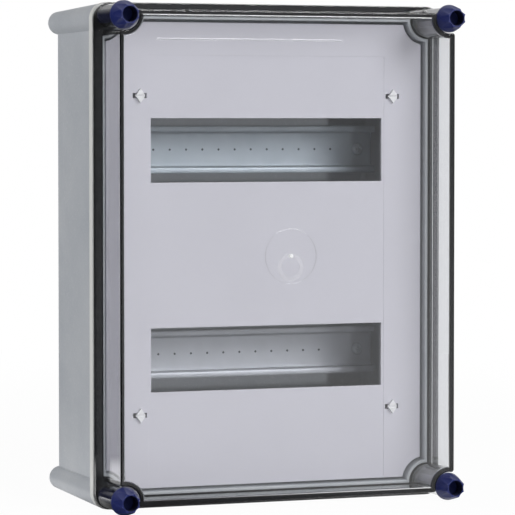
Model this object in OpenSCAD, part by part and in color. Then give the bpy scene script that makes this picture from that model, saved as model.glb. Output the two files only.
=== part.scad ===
// Wall enclosure for two rows of modular rail devices: a moulded base with four corner columns,
// a clear lift-off cover held by four captive corner screws, and an inner front plate.
// Every piece is drawn lying on its back (x across, y up the wall, z out of the wall) and then
// stood upright, so that the origin is the middle of the back face and the front faces -Y.

/* [Case] */
// Width over the rim of the base
case_w = 270; // [256:1:340]
// Height over the rim of the base
case_h = 360; // [330:1:440]
// Depth of the base from the back face to the rim
base_depth = 109; // [90:1:160]
// Wall thickness of the base
wall_t = 4; // [3:0.5:5]
// Thickness of the base's back wall
floor_t = 4; // [3:0.5:6]
// Draft of the moulded base walls, in degrees
base_draft = 1.3; // [0.5:0.1:2]
// Distance that the rim stands out past the base walls
rim_overhang = 7.5; // [6:0.5:9]
// Thickness of the rim
rim_t = 7; // [5:0.5:10]
// Corner radius of the rim
rim_r = 12; // [8:0.5:14]
// Radius of the back edges of the base
back_edge_r = 4; // [2:0.5:6]

/* [Corner columns] */
// Distance of a cover screw's axis from the rim's two edges
screw_inset = 10; // [9.5:0.5:11]
// Column radius under the rim
column_front_r = 9.6; // [9:0.1:10]
// Column radius at the back face
column_back_r = 8.4; // [8:0.1:9]
// Lean of the columns toward the middle, in degrees
column_lean = 1; // [0:0.1:1.5]
// Radius of the inner corner wall about each screw axis
corner_r = 16; // [14.5:0.5:18]
// Radius of the hollow moulded into the back of each column
core_r = 5; // [3:0.5:6]
// Length of that hollow
core_depth = 72; // [20:1:74]

/* [Seal] */
// Width of the bare lip between the case's inside and the seal
lip_w = 2.1; // [1.5:0.1:3]
// Width of the groove that holds the seal's bead
groove_w = 3; // [2.5:0.1:3.5]
// Depth of that groove
groove_depth = 4.2; // [3.5:0.1:5]
// Thickness of the seal's flat strip between the rim and the cover
strip_t = 1; // [0.5:0.1:2]
// Distance that the strip stays inside the rim's edge
strip_gap = 0.7; // [0.3:0.1:1.5]

/* [Cover] */
// Height of the cover from the seal to the front face
cover_depth = 40; // [34:1:80]
// Wall thickness of the cover
cover_t = 3; // [2:0.5:4]
// Distance from the rim's edge to the foot of the cover wall
cover_setback = 5.7; // [5:0.1:6.5]
// Draft of the cover walls, in degrees
cover_draft = 0.8; // [0.5:0.1:1.5]
// Radius of the cover's front edges
cover_edge_r = 2.6; // [1:0.1:2.9]
// Thickness of the cover's flange
flange_t = 4; // [3:0.5:6]
// Distance that the cover's flange stays inside the rim's edge
flange_gap = 0.5; // [0.2:0.1:1]
// Radius of the notch in the cover about each screw axis
notch_r = 10.9; // [10.6:0.1:12]
// Radius of the clear screw columns in the notches
tube_r = 8.2; // [7.5:0.1:9]
// Distance from the cover's front face down to the top of a screw column
seat_drop = 5; // [3:0.5:10]
// Height of the marks that the mould leaves on the cover's front
mark_h = 0.3; // [0.2:0.1:0.6]
// Radius of the raised ring round the moulding gate
gate_ring_r = 20; // [14:0.5:25]
// Width of that ring
gate_ring_w = 1; // [0.5:0.1:2]
// Radius of the shallow dish beside the gate
gate_dish_r = 8.5; // [5:0.5:10]
// Distance of the dish's middle below the gate
gate_dish_drop = 8; // [0:0.5:10]
// Radius of the gate's stub
gate_stub_r = 1.5; // [1:0.1:3]
// Height of the gate's stub
gate_stub_h = 0.8; // [0.4:0.1:1.5]
// Length of the raised line near the cover's upper edge
rule_len = 142; // [60:1:200]
// Width of that line
rule_w = 1.6; // [1:0.1:3]
// Distance of that line's left end from the cover's middle
rule_left = 102; // [60:1:105]
// Distance of that line below the cover screws
rule_drop = 16.6; // [16:0.1:30]

/* [Cover screws] */
// Length of a screw's grip
grip_len = 14; // [10:0.5:20]
// Radius of the grip at its base
grip_base_r = 10; // [9:0.1:10.2]
// Radius of the points at the front of the grip
grip_tip_r = 7.2; // [6.6:0.1:8]
// Radius of the valleys between those points
grip_valley_r = 6.1; // [5.9:0.05:6.4]
// Radius of the flute cutter
flute_r = 8; // [6:0.5:10]
// Number of flutes
flutes = 8; // [6:1:10]
// Thickness of the plain collar at the grip's base
collar_t = 1.5; // [1:0.5:3]
// Radius of the hollow in the grip's front
socket_r = 5.5; // [4:0.1:5.6]
// Depth of that hollow
socket_depth = 10; // [6:0.5:11]
// Radius of the moulded shank
shank_r = 4.9; // [4:0.1:5.5]
// Radius of the steel stud
stud_r = 3; // [2.5:0.1:3.2]
// Length of stud held in the shank
stud_grip = 13; // [8:0.5:18]
// Length of stud that reaches into the base, measured from the rim
stud_reach = 18; // [12:0.5:22]
// Thickness of the sealing washer under the grip
washer_t = 1.5; // [1:0.1:2.5]
// Radius of the sealing washer
washer_r = 9.2; // [8.5:0.1:9.8]
// Outer radius of the threaded insert
insert_r = 4.6; // [4.2:0.1:5]
// Length of the threaded insert
insert_len = 14; // [10:0.5:18]
// Depth of the threaded insert below the rim
insert_drop = 8; // [6:0.5:10]

/* [Front plate] */
// Thickness of the front plate
plate_t = 3; // [2:0.5:4]
// Distance from the rim back to the plate's front
plate_drop = 4; // [3:0.5:6]
// Gap between the plate's edge and the case
plate_gap = 2.1; // [1:0.1:3]
// Width of a module cut-out
cutout_w = 180; // [108:18:180]
// Height of a module cut-out
cutout_h = 46; // [45:0.5:48]
// Distance between the two rows of modules
row_pitch = 150; // [125:1:160]
// Depth of the shallow field around the cut-outs
field_depth = 0.2; // [0.1:0.1:0.6]
// Margin of that field beside the cut-outs
field_margin = 2; // [1:0.5:4]
// Height of that field's upper edge above the plate's middle
field_top = 143; // [120:1:145]

/* [Plate fasteners] */
// Distance between fasteners across the plate
fastener_pitch_x = 197; // [194:1:204]
// Distance between fasteners up the plate
fastener_pitch_y = 228; // [222:1:236]
// Width of a fastener's diamond head
head_w = 7.4; // [6:0.1:8]
// Length of a fastener's diamond head
head_len = 10; // [9:0.1:11]
// Height of a fastener's head
head_t = 2.4; // [1.5:0.1:3]
// Width of the screwdriver slot
driver_w = 1.3; // [0.8:0.1:1.6]
// Depth of the screwdriver slot
driver_depth = 1.2; // [0.6:0.1:1.4]
// Radius of a fastener's neck
neck_r = 1.5; // [1.2:0.1:1.6]
// Length of the locking bar
bar_len = 10; // [8:0.1:10.5]
// Width of the locking bar
bar_w = 3; // [2.5:0.1:3.2]
// Thickness of the locking bar
bar_t = 3; // [2:0.1:4]
// Clearance around the bar and neck in the slots
slot_gap = 0.3; // [0.2:0.05:0.5]
// Side of a post's square head
post_head = 18; // [16:0.5:20]
// Height of a post's square head
post_head_h = 14; // [12:0.5:20]
// Thickness of the wall on top of a post
post_cap_t = 3; // [2:0.5:4]
// Radius of a post's stem
post_r = 7; // [5:0.5:8]

/* [Rails] */
// Distance from the plate's front back to the rails' front faces
rail_setback = 49.5; // [44:0.5:60]
// Length of each rail
rail_len = 213; // [204:1:220]
// Width of the top-hat rail
rail_w = 35; // [35]
// Depth of the top-hat rail
rail_depth = 7.5; // [7.5:7.5:15]
// Outer width of the rail's channel
channel_w = 27; // [27]
// Sheet thickness of the rail
rail_t = 1; // [1:0.1:1.5]
// Inner bend radius of the rail
bend_r = 0.8; // [0.4:0.1:1]
// Distance of each rail screw from the rail's end
rail_screw_inset = 11.5; // [8:0.5:14]
// Radius of a rail screw's head
rail_head_r = 4.4; // [3.5:0.1:5]
// Height of a rail screw's head
rail_head_t = 2.6; // [1.5:0.1:3]
// Radius of a rail screw's thread
rail_thread_r = 2; // [1.5:0.1:2.5]
// Length of a rail screw below its head
rail_screw_len = 12; // [8:0.5:20]
// Distance across the flats of a hexagonal stand-off
standoff_af = 13; // [10:0.5:16]

/* [Back wall] */
// Distance between wall fixing holes across the case
fixing_pitch_x = 200; // [190:1:204]
// Distance between wall fixing holes up the case
fixing_pitch_y = 300; // [290:1:304]
// Radius of a wall fixing hole
fixing_r = 3.5; // [2.5:0.1:4.5]
// Radius of the raised pad around each hole
pad_r = 9; // [7:0.5:10]
// Height of that pad
pad_h = 3; // [1:0.5:5]
// Radius of the bosses that carry the posts and stand-offs
boss_r = 8; // [6:0.5:9]
// Height of those bosses
boss_h = 8; // [6:0.5:12]
// Radius of the pegs that hold the posts and stand-offs
peg_r = 3; // [2:0.1:4]
// Length of those pegs
peg_len = 6; // [4:0.5:10]

/* [Hidden] */
$fn = 64;
edge_steps = 6;
// overlap that keeps cutters clear of the faces they cut through
cut = 1;
// clearance between a peg, stud or insert and the piece that holds it
seat_gap = 0.05;
// clearance between pieces that turn or slide past each other
run_gap = 0.3;
// distance that a flute's cutter passes outside the collar of a grip
flute_clear = 0.3;

screw_x = case_w / 2 - screw_inset;
screw_y = case_h / 2 - screw_inset;
wall_x = case_w / 2 - rim_overhang;
wall_y = case_h / 2 - rim_overhang;
inside_x = wall_x - wall_t;
inside_y = wall_y - wall_t;

cover_z = base_depth + strip_t;
front_z = cover_z + cover_depth;
seat_z = front_z - seat_drop;
grip_z = seat_z + washer_t;
tube_bore_r = shank_r + run_gap;
shank_end_z = cover_z + run_gap;
insert_bore_r = stud_r + run_gap;
insert_top_z = base_depth - insert_drop;

plate_z = base_depth - plate_drop - plate_t;
row_y = row_pitch / 2;
fastener_x = fastener_pitch_x / 2;
fastener_y = fastener_pitch_y / 2;
slot_len = bar_len + 2 * slot_gap;
slot_w = bar_w + 2 * slot_gap;
bar_z = plate_z - post_cap_t - bar_t;

boss_z = floor_t + boss_h;
rail_front_z = plate_z + plate_t - rail_setback;
rail_back_z = rail_front_z - rail_depth;
rail_screw_x = rail_len / 2 - rail_screw_inset;

CORNERS = [for (sx = [-1, 1]) for (sy = [-1, 1]) [sx, sy]];
TOP_LEFT = [-1, 1];
TOP_RIGHT = [1, 1];
BOTTOM_LEFT = [-1, -1];
BOTTOM_RIGHT = [1, -1];

GRP = "#9fa2a4";
CLEAR = "#dfe6ea";
PLATE_GREY = "#c5c4ce";
NAVY = "#232d63";
BLACK = "#1c1d20";
STEEL = "#9aa7b0";
BRASS = "#b79a55";
NATURAL = "#dcdce2";

// Shared helpers

// Turns a piece drawn on its back so that z points out of the wall toward the viewer
module upright() {
    rotate([90, 0, 0]) children();
}

// Moves a piece to one of the four corners of a pattern
module at_corner(corner, half_x, half_y, z = 0) {
    translate([corner.x * half_x, corner.y * half_y, z]) children();
}

module rounded_rect(width, height, radius) {
    square([width, height - 2 * radius], center = true);
    square([width - 2 * radius, height], center = true);
    for (corner = CORNERS)
        translate([corner.x * (width / 2 - radius), corner.y * (height / 2 - radius)]) circle(radius);
}

// Outline of the case's inside at the rim, grown by an offset: straight sides and hollow corners
module inside_outline(grow) {
    difference() {
        square([2 * (inside_x + grow), 2 * (inside_y + grow)], center = true);
        for (corner = CORNERS)
            translate([corner.x * screw_x, corner.y * screw_y]) circle(corner_r - grow);
    }
}

// Right half of a drafted section with one rounded edge, as [half width, distance from the wide end]
function half_section(half, depth, draft, radius) =
    let (mid = half - depth * tan(draft) + radius * tan(draft) - radius / cos(draft))
    concat([[half, 0]], [
        for (i = [0 : edge_steps])
            let (a = draft + (90 - draft) * i / edge_steps)
            [mid + radius * cos(a), depth - radius + radius * sin(a)]
    ]);

module drafted_section(half, wide_z, narrow_z, draft, radius) {
    side = half_section(half, abs(narrow_z - wide_z), draft, radius);
    way = sign(narrow_z - wide_z);
    right = [for (p = side) [p.x, wide_z + way * p.y]];
    left = [for (i = [len(side) - 1 : -1 : 0]) [-right[i].x, right[i].y]];
    polygon(concat(right, left));
}

// Box with drafted sides and rounded edges at its narrow end
module drafted_block(half_x, half_y, wide_z, narrow_z, draft, radius) {
    intersection() {
        rotate([90, 0, 0])
            linear_extrude(2 * half_y + cut, center = true)
                drafted_section(half_x, wide_z, narrow_z, draft, radius);
        rotate([90, 0, 90])
            linear_extrude(2 * half_x + cut, center = true)
                drafted_section(half_y, wide_z, narrow_z, draft, radius);
    }
}

// Base

module corner_column(corner) {
    at_corner(corner, screw_x, screw_y, base_depth)
        rotate([-corner.y * column_lean, corner.x * column_lean, 0])
            translate([0, 0, -base_depth - cut])
                cylinder(base_depth + cut, column_back_r, column_front_r);
}

module base_shell() {
    difference() {
        union() {
            drafted_block(wall_x, wall_y, base_depth, 0, base_draft, back_edge_r);
            for (corner = CORNERS) corner_column(corner);
            translate([0, 0, base_depth - rim_t])
                linear_extrude(rim_t) rounded_rect(case_w, case_h, rim_r);
        }
        difference() {
            drafted_block(inside_x, inside_y, base_depth + cut, floor_t, base_draft, back_edge_r);
            for (corner = CORNERS)
                at_corner(corner, screw_x, screw_y) cylinder(base_depth + 2 * cut, r = corner_r);
        }
        // the leaning columns are cut level with the back face, and nothing stands past the rim
        translate([-case_w, -case_h, -2 * cut - floor_t]) cube([2 * case_w, 2 * case_h, 2 * cut + floor_t]);
        translate([-case_w, -case_h, base_depth]) cube([2 * case_w, 2 * case_h, 2 * cut]);
    }
}

module base_bosses() {
    for (corner = CORNERS) {
        at_corner(corner, fastener_x, fastener_y) cylinder(boss_z, r = boss_r);
        at_corner(corner, rail_screw_x, row_y) cylinder(boss_z, r = boss_r);
        at_corner(corner, fixing_pitch_x / 2, fixing_pitch_y / 2) cylinder(floor_t + pad_h, r = pad_r);
    }
}

module base_holes() {
    for (corner = CORNERS) {
        at_corner(corner, fastener_x, fastener_y, boss_z - peg_len)
            cylinder(peg_len + cut, r = peg_r + seat_gap);
        at_corner(corner, rail_screw_x, row_y, boss_z - peg_len)
            cylinder(peg_len + cut, r = peg_r + seat_gap);
        at_corner(corner, fixing_pitch_x / 2, fixing_pitch_y / 2, -cut)
            cylinder(floor_t + pad_h + 2 * cut, r = fixing_r);
        at_corner(corner, screw_x, screw_y, insert_top_z)
            cylinder(insert_drop + cut, r = tube_bore_r);
        at_corner(corner, screw_x, screw_y, insert_top_z - insert_len)
            cylinder(insert_len + cut, r = insert_r + seat_gap);
        at_corner(corner, screw_x, screw_y, -cut) cylinder(core_depth + cut, r = core_r);
    }
}

module base_tub() {
    color(GRP) upright() difference() {
        union() {
            base_shell();
            intersection() {
                base_bosses();
                translate([-wall_x, -wall_y, floor_t / 2]) cube([2 * wall_x, 2 * wall_y, base_depth]);
            }
        }
        base_holes();
        translate([0, 0, base_depth - groove_depth]) linear_extrude(groove_depth + cut) difference() {
            inside_outline(lip_w + groove_w);
            inside_outline(lip_w);
        }
    }
}

// Flat strip on the rim with a bead that fills the groove under it
module cover_seal() {
    color(BLACK) upright() {
        translate([0, 0, base_depth]) linear_extrude(strip_t) difference() {
            rounded_rect(case_w - 2 * strip_gap, case_h - 2 * strip_gap, rim_r - strip_gap);
            inside_outline(lip_w);
            for (corner = CORNERS)
                translate([corner.x * screw_x, corner.y * screw_y]) circle(tube_bore_r);
        }
        translate([0, 0, base_depth - groove_depth])
            linear_extrude(groove_depth + strip_t / 2) difference() {
                inside_outline(lip_w + groove_w - seat_gap);
                inside_outline(lip_w + seat_gap);
            }
    }
}

module column_insert(corner) {
    color(BRASS) upright()
        at_corner(corner, screw_x, screw_y, insert_top_z - insert_len) difference() {
            cylinder(insert_len, r = insert_r);
            translate([0, 0, -cut]) cylinder(insert_len + 2 * cut, r = insert_bore_r);
        }
}

// Cover

module cover_hood() {
    hood_x = case_w / 2 - cover_setback;
    hood_y = case_h / 2 - cover_setback;
    difference() {
        union() {
            difference() {
                drafted_block(hood_x, hood_y, cover_z, front_z, cover_draft, cover_edge_r);
                for (corner = CORNERS)
                    at_corner(corner, screw_x, screw_y, cover_z + flange_t)
                        cylinder(cover_depth, r = notch_r);
            }
            translate([0, 0, cover_z]) linear_extrude(flange_t)
                rounded_rect(case_w - 2 * flange_gap, case_h - 2 * flange_gap, rim_r - flange_gap);
        }
        difference() {
            drafted_block(hood_x - cover_t, hood_y - cover_t, cover_z - cut, front_z - cover_t,
                          cover_draft, cover_edge_r);
            for (corner = CORNERS)
                at_corner(corner, screw_x, screw_y, cover_z - 2 * cut)
                    cylinder(cover_depth + 4 * cut, r = notch_r + cover_t);
        }
    }
}

// Marks of the mould on the front face: a raised line, and a ring with a stub at the gate
module cover_marks() {
    translate([-rule_left, screw_y - rule_drop - rule_w / 2, front_z - cut])
        cube([rule_len, rule_w, cut + mark_h]);
    translate([0, 0, front_z - cut]) {
        linear_extrude(cut + mark_h) difference() {
            circle(gate_ring_r);
            circle(gate_ring_r - gate_ring_w);
        }
        cylinder(cut + gate_stub_h, r = gate_stub_r);
    }
}

// Bowl of a sphere that leaves a round dish of the marks' depth
module gate_dish() {
    bowl_r = (gate_dish_r * gate_dish_r + mark_h * mark_h) / (2 * mark_h);
    translate([0, -gate_dish_drop, front_z + bowl_r - mark_h]) sphere(bowl_r, $fn = 180);
}

module cover() {
    color(CLEAR, 0.35) upright() difference() {
        union() {
            difference() {
                cover_hood();
                gate_dish();
            }
            cover_marks();
            for (corner = CORNERS)
                at_corner(corner, screw_x, screw_y, cover_z) cylinder(seat_z - cover_z, r = tube_r);
        }
        for (corner = CORNERS)
            at_corner(corner, screw_x, screw_y, cover_z - cut)
                cylinder(cover_depth, r = tube_bore_r);
    }
}

// Cover screws

// Cutter for one flute: it leans outward, so that the valley runs out just above the collar
module flute() {
    lean = atan((grip_base_r + flute_clear - grip_valley_r) / (grip_len - collar_t));
    translate([grip_valley_r, 0, grip_len])
        rotate([0, -lean, 0])
            translate([flute_r, 0, -2 * grip_len]) cylinder(3 * grip_len, r = flute_r);
}

module grip() {
    difference() {
        union() {
            cylinder(collar_t, r = grip_base_r);
            translate([0, 0, collar_t]) cylinder(grip_len - collar_t, grip_base_r, grip_tip_r);
        }
        for (i = [0 : flutes - 1]) rotate(i * 360 / flutes) flute();
        translate([0, 0, grip_len - socket_depth]) cylinder(socket_depth + cut, r = socket_r);
    }
}

module cover_screw(corner) {
    color(NAVY) upright() at_corner(corner, screw_x, screw_y) difference() {
        union() {
            translate([0, 0, grip_z]) grip();
            translate([0, 0, shank_end_z]) cylinder(grip_z - shank_end_z, r = shank_r);
        }
        translate([0, 0, shank_end_z - cut]) cylinder(stud_grip + cut, r = stud_r + seat_gap);
    }
}

module screw_stud(corner) {
    bottom_z = base_depth - stud_reach;
    color(STEEL) upright() at_corner(corner, screw_x, screw_y, bottom_z)
        cylinder(shank_end_z + stud_grip - bottom_z, r = stud_r);
}

module screw_washer(corner) {
    color(BLACK) upright() at_corner(corner, screw_x, screw_y, seat_z) difference() {
        cylinder(washer_t, r = washer_r);
        translate([0, 0, -cut]) cylinder(washer_t + 2 * cut, r = shank_r + seat_gap);
    }
}

// Front plate and its fasteners

module front_plate() {
    field_w = cutout_w + 2 * field_margin;
    color(PLATE_GREY) upright() translate([0, 0, plate_z]) difference() {
        linear_extrude(plate_t) difference() {
            inside_outline(-plate_gap);
            for (way = [-1, 1])
                translate([0, way * row_y]) square([cutout_w, cutout_h], center = true);
            for (corner = CORNERS)
                translate([corner.x * fastener_x, corner.y * fastener_y])
                    square([slot_len, slot_w], center = true);
        }
        translate([-field_w / 2, -case_h / 2, plate_t - field_depth])
            cube([field_w, case_h / 2 + field_top, field_depth + cut]);
    }
}

module diamond(width, length) {
    polygon([[width / 2, 0], [0, length / 2], [-width / 2, 0], [0, -length / 2]]);
}

module plate_fastener(corner) {
    color(NATURAL) upright() at_corner(corner, fastener_x, fastener_y) {
        translate([0, 0, plate_z + plate_t]) difference() {
            linear_extrude(head_t) diamond(head_w, head_len);
            translate([-head_w, -driver_w / 2, head_t - driver_depth]) cube([2 * head_w, driver_w, head_t]);
        }
        translate([0, 0, bar_z]) cylinder(plate_z + plate_t - bar_z, r = neck_r);
        translate([-bar_w / 2, -bar_len / 2, bar_z]) cube([bar_w, bar_len, bar_t]);
    }
}

module plate_post(corner) {
    window = norm([bar_len, bar_w]) + 2 * run_gap;
    window_h = post_head_h - 2 * post_cap_t;
    color(NATURAL) upright() at_corner(corner, fastener_x, fastener_y) difference() {
        union() {
            translate([0, 0, boss_z - peg_len]) cylinder(peg_len + cut, r = peg_r);
            translate([0, 0, boss_z]) cylinder(plate_z - boss_z - cut, r = post_r);
            translate([-post_head / 2, -post_head / 2, plate_z - post_head_h])
                cube([post_head, post_head, post_head_h]);
        }
        translate([-post_head, -window / 2, plate_z - post_cap_t - window_h])
            cube([2 * post_head, window, window_h]);
        translate([-slot_len / 2, -slot_w / 2, plate_z - post_cap_t - cut])
            cube([slot_len, slot_w, post_cap_t + 2 * cut]);
    }
}

// Rails

// Quarter of a bent sheet, from its inner radius to its outer radius
module sheet_bend() {
    difference() {
        intersection() {
            circle(bend_r + rail_t);
            square(bend_r + rail_t);
        }
        circle(bend_r);
    }
}

// Right half of the top-hat section: web, one bend up, side, one bend out, flange
module half_hat() {
    outer_r = bend_r + rail_t;
    side_x = channel_w / 2;
    square([side_x - outer_r, rail_t]);
    translate([side_x - outer_r, outer_r]) mirror([0, 1]) sheet_bend();
    translate([side_x - rail_t, outer_r]) square([rail_t, rail_depth - 2 * outer_r]);
    translate([side_x + bend_r, rail_depth - outer_r]) mirror([1, 0]) sheet_bend();
    translate([side_x + bend_r, rail_depth - rail_t])
        square([rail_w / 2 - side_x - bend_r, rail_t]);
}

module top_hat_rail(y) {
    color(STEEL) upright() difference() {
        translate([-rail_len / 2, y, rail_back_z]) rotate([90, 0, 90]) linear_extrude(rail_len) {
            half_hat();
            mirror([1, 0]) half_hat();
        }
        for (way = [-1, 1])
            translate([way * rail_screw_x, y, rail_back_z - cut])
                cylinder(rail_t + 2 * cut, r = rail_thread_r + run_gap);
    }
}

module rail_upper() { top_hat_rail(row_y); }
module rail_lower() { top_hat_rail(-row_y); }

module rail_standoff(corner) {
    color(NATURAL) upright() at_corner(corner, rail_screw_x, row_y) difference() {
        union() {
            translate([0, 0, boss_z - peg_len]) cylinder(peg_len + cut, r = peg_r);
            translate([0, 0, boss_z]) cylinder(rail_back_z - boss_z, d = standoff_af / cos(30), $fn = 6);
        }
        translate([0, 0, rail_back_z - rail_screw_len])
            cylinder(rail_screw_len + cut, r = rail_thread_r + seat_gap);
    }
}

module rail_screw(corner) {
    head_z = rail_back_z + rail_t;
    color(STEEL) upright() at_corner(corner, rail_screw_x, row_y) {
        translate([0, 0, head_z]) cylinder(rail_head_t, r = rail_head_r);
        translate([0, 0, head_z - rail_screw_len])
            cylinder(rail_screw_len + rail_head_t / 2, r = rail_thread_r);
    }
}

base_tub();
cover();
cover_seal();
front_plate();
rail_upper();
rail_lower();
cover_screw(TOP_LEFT);  // cover_screw_top_left
cover_screw(TOP_RIGHT);  // cover_screw_top_right
cover_screw(BOTTOM_LEFT);  // cover_screw_bottom_left
cover_screw(BOTTOM_RIGHT);  // cover_screw_bottom_right
screw_stud(TOP_LEFT);  // screw_stud_top_left
screw_stud(TOP_RIGHT);  // screw_stud_top_right
screw_stud(BOTTOM_LEFT);  // screw_stud_bottom_left
screw_stud(BOTTOM_RIGHT);  // screw_stud_bottom_right
screw_washer(TOP_LEFT);  // screw_washer_top_left
screw_washer(TOP_RIGHT);  // screw_washer_top_right
screw_washer(BOTTOM_LEFT);  // screw_washer_bottom_left
screw_washer(BOTTOM_RIGHT);  // screw_washer_bottom_right
column_insert(TOP_LEFT);  // column_insert_top_left
column_insert(TOP_RIGHT);  // column_insert_top_right
column_insert(BOTTOM_LEFT);  // column_insert_bottom_left
column_insert(BOTTOM_RIGHT);  // column_insert_bottom_right
plate_fastener(TOP_LEFT);  // plate_fastener_top_left
plate_fastener(TOP_RIGHT);  // plate_fastener_top_right
plate_fastener(BOTTOM_LEFT);  // plate_fastener_bottom_left
plate_fastener(BOTTOM_RIGHT);  // plate_fastener_bottom_right
plate_post(TOP_LEFT);  // plate_post_top_left
plate_post(TOP_RIGHT);  // plate_post_top_right
plate_post(BOTTOM_LEFT);  // plate_post_bottom_left
plate_post(BOTTOM_RIGHT);  // plate_post_bottom_right
rail_standoff(TOP_LEFT);  // rail_standoff_top_left
rail_standoff(TOP_RIGHT);  // rail_standoff_top_right
rail_standoff(BOTTOM_LEFT);  // rail_standoff_bottom_left
rail_standoff(BOTTOM_RIGHT);  // rail_standoff_bottom_right
rail_screw(TOP_LEFT);  // rail_screw_top_left
rail_screw(TOP_RIGHT);  // rail_screw_top_right
rail_screw(BOTTOM_LEFT);  // rail_screw_bottom_left
rail_screw(BOTTOM_RIGHT);  // rail_screw_bottom_right
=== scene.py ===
# %% [markdown]
# # A wall enclosure for two rows of rail devices
# The real object is a grey moulded base with a clear lift-off cover, four blue corner screws, an inner
# front plate and two steel rails. Its solids come ready in a fixed frame, so this lesson adds what
# solids lack: finishes, rounded clear plastic, threads, screw heads and light.
# Sizes of pieces are in millimetres, measured across, up the wall and out of the wall. The camera, the
# lamps and the floor are in metres.

# %% Load the frame
import math

import bmesh
import bpy
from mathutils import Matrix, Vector


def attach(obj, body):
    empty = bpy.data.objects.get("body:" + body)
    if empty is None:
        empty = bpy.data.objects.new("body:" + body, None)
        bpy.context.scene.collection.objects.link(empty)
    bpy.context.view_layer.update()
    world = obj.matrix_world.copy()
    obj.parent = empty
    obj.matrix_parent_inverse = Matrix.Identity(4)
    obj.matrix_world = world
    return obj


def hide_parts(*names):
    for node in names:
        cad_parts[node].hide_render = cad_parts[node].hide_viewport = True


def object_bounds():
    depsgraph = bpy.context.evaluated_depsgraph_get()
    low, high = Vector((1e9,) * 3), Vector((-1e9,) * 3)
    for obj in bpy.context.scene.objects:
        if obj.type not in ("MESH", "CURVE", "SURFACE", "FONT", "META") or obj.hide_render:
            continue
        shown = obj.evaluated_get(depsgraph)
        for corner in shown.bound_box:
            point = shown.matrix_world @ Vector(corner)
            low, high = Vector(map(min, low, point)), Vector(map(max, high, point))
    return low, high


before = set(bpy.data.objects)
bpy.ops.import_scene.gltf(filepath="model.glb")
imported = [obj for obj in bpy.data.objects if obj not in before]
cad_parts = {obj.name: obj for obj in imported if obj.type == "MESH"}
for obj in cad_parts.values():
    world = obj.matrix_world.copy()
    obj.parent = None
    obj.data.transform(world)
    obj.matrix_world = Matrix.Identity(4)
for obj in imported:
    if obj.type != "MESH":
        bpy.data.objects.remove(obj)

MM = 0.001
cad_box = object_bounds()
CASE_W = round((cad_box[1][0] - cad_box[0][0]) / MM, 1)
CASE_H = round((cad_box[1][2] - cad_box[0][2]) / MM, 1)
CORNERS = {"top_left": (-1, 1), "top_right": (1, 1), "bottom_left": (-1, -1), "bottom_right": (1, -1)}
print("box in mm:", [[round(value / MM, 1) for value in corner] for corner in cad_box])

# %% [markdown]
# ## Camera
# A long lens from well back keeps the sides almost parallel, as in a catalogue picture. The camera
# stands a little to the left of the front and barely above the middle, and looks at a point inside
# the case. A camera looks along its own -Z axis, so the direction is turned into a rotation.

# %% Camera
AZIMUTH = math.radians(-22.05)
ELEVATION = math.radians(2.466)
DISTANCE = 2.3042
TARGET = Vector((-0.0076, -0.105, -0.00267))
LENS = 222.7
SENSOR = 36


def link(name, data):
    item = bpy.data.objects.new(name, data)
    bpy.context.scene.collection.objects.link(item)
    return item


back = Vector((
    math.sin(AZIMUTH) * math.cos(ELEVATION),
    -math.cos(AZIMUTH) * math.cos(ELEVATION),
    math.sin(ELEVATION),
))
camera_data = bpy.data.cameras.new("front_camera")
camera_data.lens = LENS
camera_data.sensor_width = SENSOR
camera = link("front_camera", camera_data)
camera.location = TARGET + DISTANCE * back
camera.rotation_euler = back.to_track_quat("Z", "Y").to_euler()
bpy.context.scene.camera = camera
bpy.context.scene.view_settings.view_transform = "Standard"
print("camera at", [round(value, 3) for value in camera.location])

# %% [markdown]
# ## Helpers for node trees
# Every finish is a tree of nodes, and a tree is easier to read when each node takes one statement.
# `add` makes a node, sets its options and fills its sockets, by name or by number: another node is
# linked by its first output, one of its sockets is linked as it is, and anything else is a plain value.
# Colours are written as on a colour chart, in sRGB, and Blender mixes light in linear values, so `chart`
# converts them. `new_finish` starts a finish and gives the place on the piece for its textures, `by_ray`
# shows different looks to different rays, and `per_mm` turns the size of a grain into the scale of a
# texture.

# %% Helpers for node trees
def add(tree, kind, sockets=None, **options):
    node = tree.nodes.new(kind)
    for name, value in options.items():
        setattr(node, name, value)
    for key, value in (sockets or {}).items():
        if isinstance(value, bpy.types.Node):
            value = value.outputs[0]
        if isinstance(value, bpy.types.NodeSocket):
            tree.links.new(value, node.inputs[key])
        else:
            node.inputs[key].default_value = value
    return node


def chart(code):
    channels = [int(code[i:i + 2], 16) / 255 for i in (1, 3, 5)]
    linear = [c / 12.92 if c <= 0.04045 else ((c + 0.055) / 1.055) ** 2.4 for c in channels]
    return (*linear, 1.0)


def new_finish(name):
    finish = bpy.data.materials.new(name)
    finish.use_nodes = True
    tree = finish.node_tree
    tree.nodes.clear()
    return finish, tree, add(tree, "ShaderNodeTexCoord").outputs["Object"]


def by_ray(tree, to_camera, to_matt, to_bent):
    """One look for the camera, one for light on matt surfaces and one for mirrored and bent rays."""
    rays = add(tree, "ShaderNodeLightPath").outputs
    bent = add(tree, "ShaderNodeMath", {
        0: rays["Is Glossy Ray"], 1: rays["Is Transmission Ray"]}, operation="MAXIMUM")
    shown = add(tree, "ShaderNodeMixShader", {0: bent, 1: to_matt, 2: to_bent})
    return add(tree, "ShaderNodeMixShader", {0: rays["Is Camera Ray"], 1: shown, 2: to_camera})


def per_mm(size):
    """Scale of a texture whose grains are about this many millimetres across."""
    return 1 / (size * MM)


print("mid grey in linear light:", round(chart("#808080")[0], 3))

# %% [markdown]
# ## Room
# A catalogue picture shows the object on pure white, yet the clear cover has dark edges. Both are true
# when only the part of the studio behind the object is white: the camera looks straight at it, while
# a mirrored or bent view reaches the dim room around it. That room is lighter to the right and overhead.
# Ways are unit vectors. A spread or a rise is one part of such a vector, where a light begins and where
# it is full.

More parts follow.
